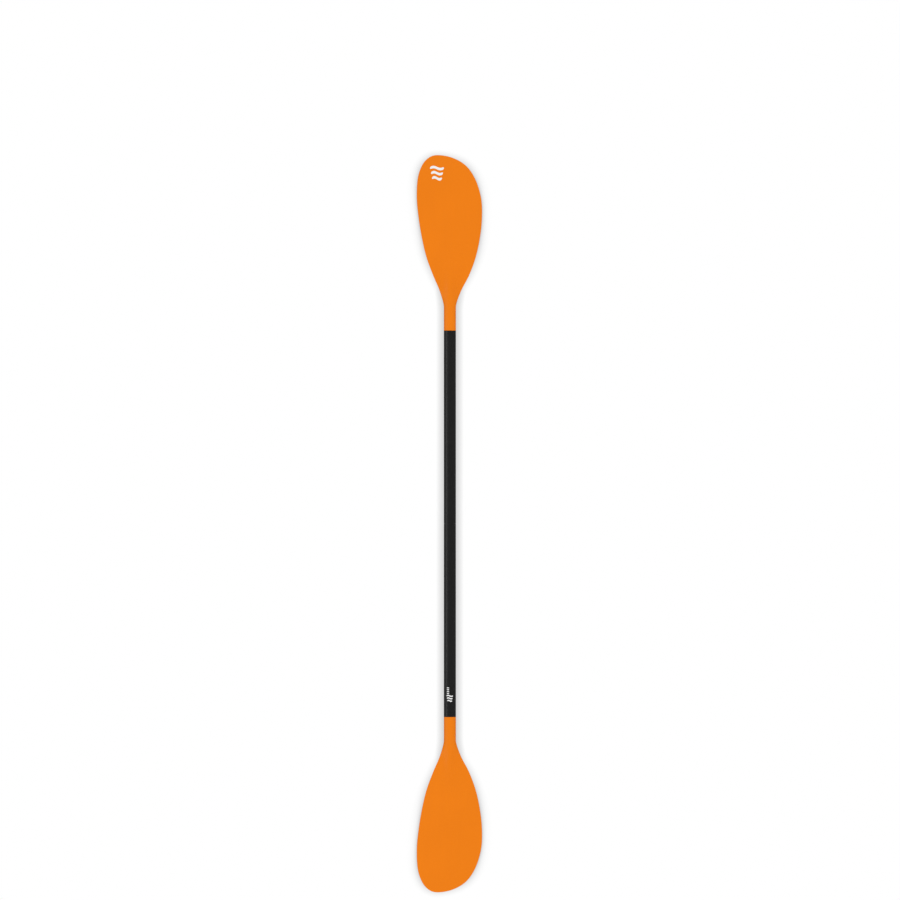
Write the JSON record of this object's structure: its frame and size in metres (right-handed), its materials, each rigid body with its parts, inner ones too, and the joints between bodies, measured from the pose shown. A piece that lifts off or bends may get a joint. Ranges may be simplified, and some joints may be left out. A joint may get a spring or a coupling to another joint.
{
  "type": "kayak paddle",
  "caption": "Take-apart double-bladed kayak paddle: asymmetric spooned orange blades on a straight black tubular shaft, with a snap-button ferrule and feather holes.",
  "frame": {"origin": "on the shaft's axis at the middle of the shaft, where the two halves meet; the paddle lies on the backs of its blades", "axes": "+Y along the shaft towards the upper blade, +Z the side of both power faces, +X across the blades towards their shorter edges"},
  "size_m": [0.1747, 1.97, 0.0372],
  "materials": {
    "blade_plastic": "orange short-glass filled plastic, moulded through-colour, very fine spark texture, soft satin sheen",
    "shaft_laminate": "near-black wrapped fibre laminate, lightly sanded satin clear coat",
    "ferrule_plastic": "dark grey glass-filled nylon, turned surface",
    "seal_rubber": "black rubber",
    "spring_steel": "stainless steel, satin",
    "bung_foam": "grey closed-cell foam"
  },
  "bodies": {
    "upper_half": {"upper_blade": "blade_plastic", "upper_blade_bung": "bung_foam", "upper_shaft_tube": "shaft_laminate", "upper_shaft_bung": "bung_foam", "ferrule_socket": "ferrule_plastic"},
    "seal_ring": {"ferrule_seal_ring": "seal_rubber"},
    "lower_half": {"ferrule_insert": "ferrule_plastic", "insert_end_cap": "ferrule_plastic", "button_spring": "spring_steel", "lower_shaft_bung": "bung_foam", "lower_shaft_tube": "shaft_laminate", "lower_blade_bung": "bung_foam", "lower_blade": "blade_plastic"},
    "button": {"snap_button": "spring_steel"}
  },
  "joints": [
    {"name": "halves_apart", "type": "slide", "parent": "upper_half", "child": "seal_ring", "axis": [0, -1, 0], "range_m": [0, 0.12]},
    {"name": "feather_turn", "type": "hinge", "parent": "seal_ring", "child": "lower_half", "pos_m": [0, 0, 0], "axis": [0, 1, 0], "range_deg": [-60, 60]},
    {"name": "button_press", "type": "slide", "parent": "lower_half", "child": "button", "axis": [0, 0, 1], "range_m": [0, 0.005], "stiffness_N_per_m": 2000, "springref_m": -0.001, "deforming": ["button_spring", "snap_button"]}
  ]
}
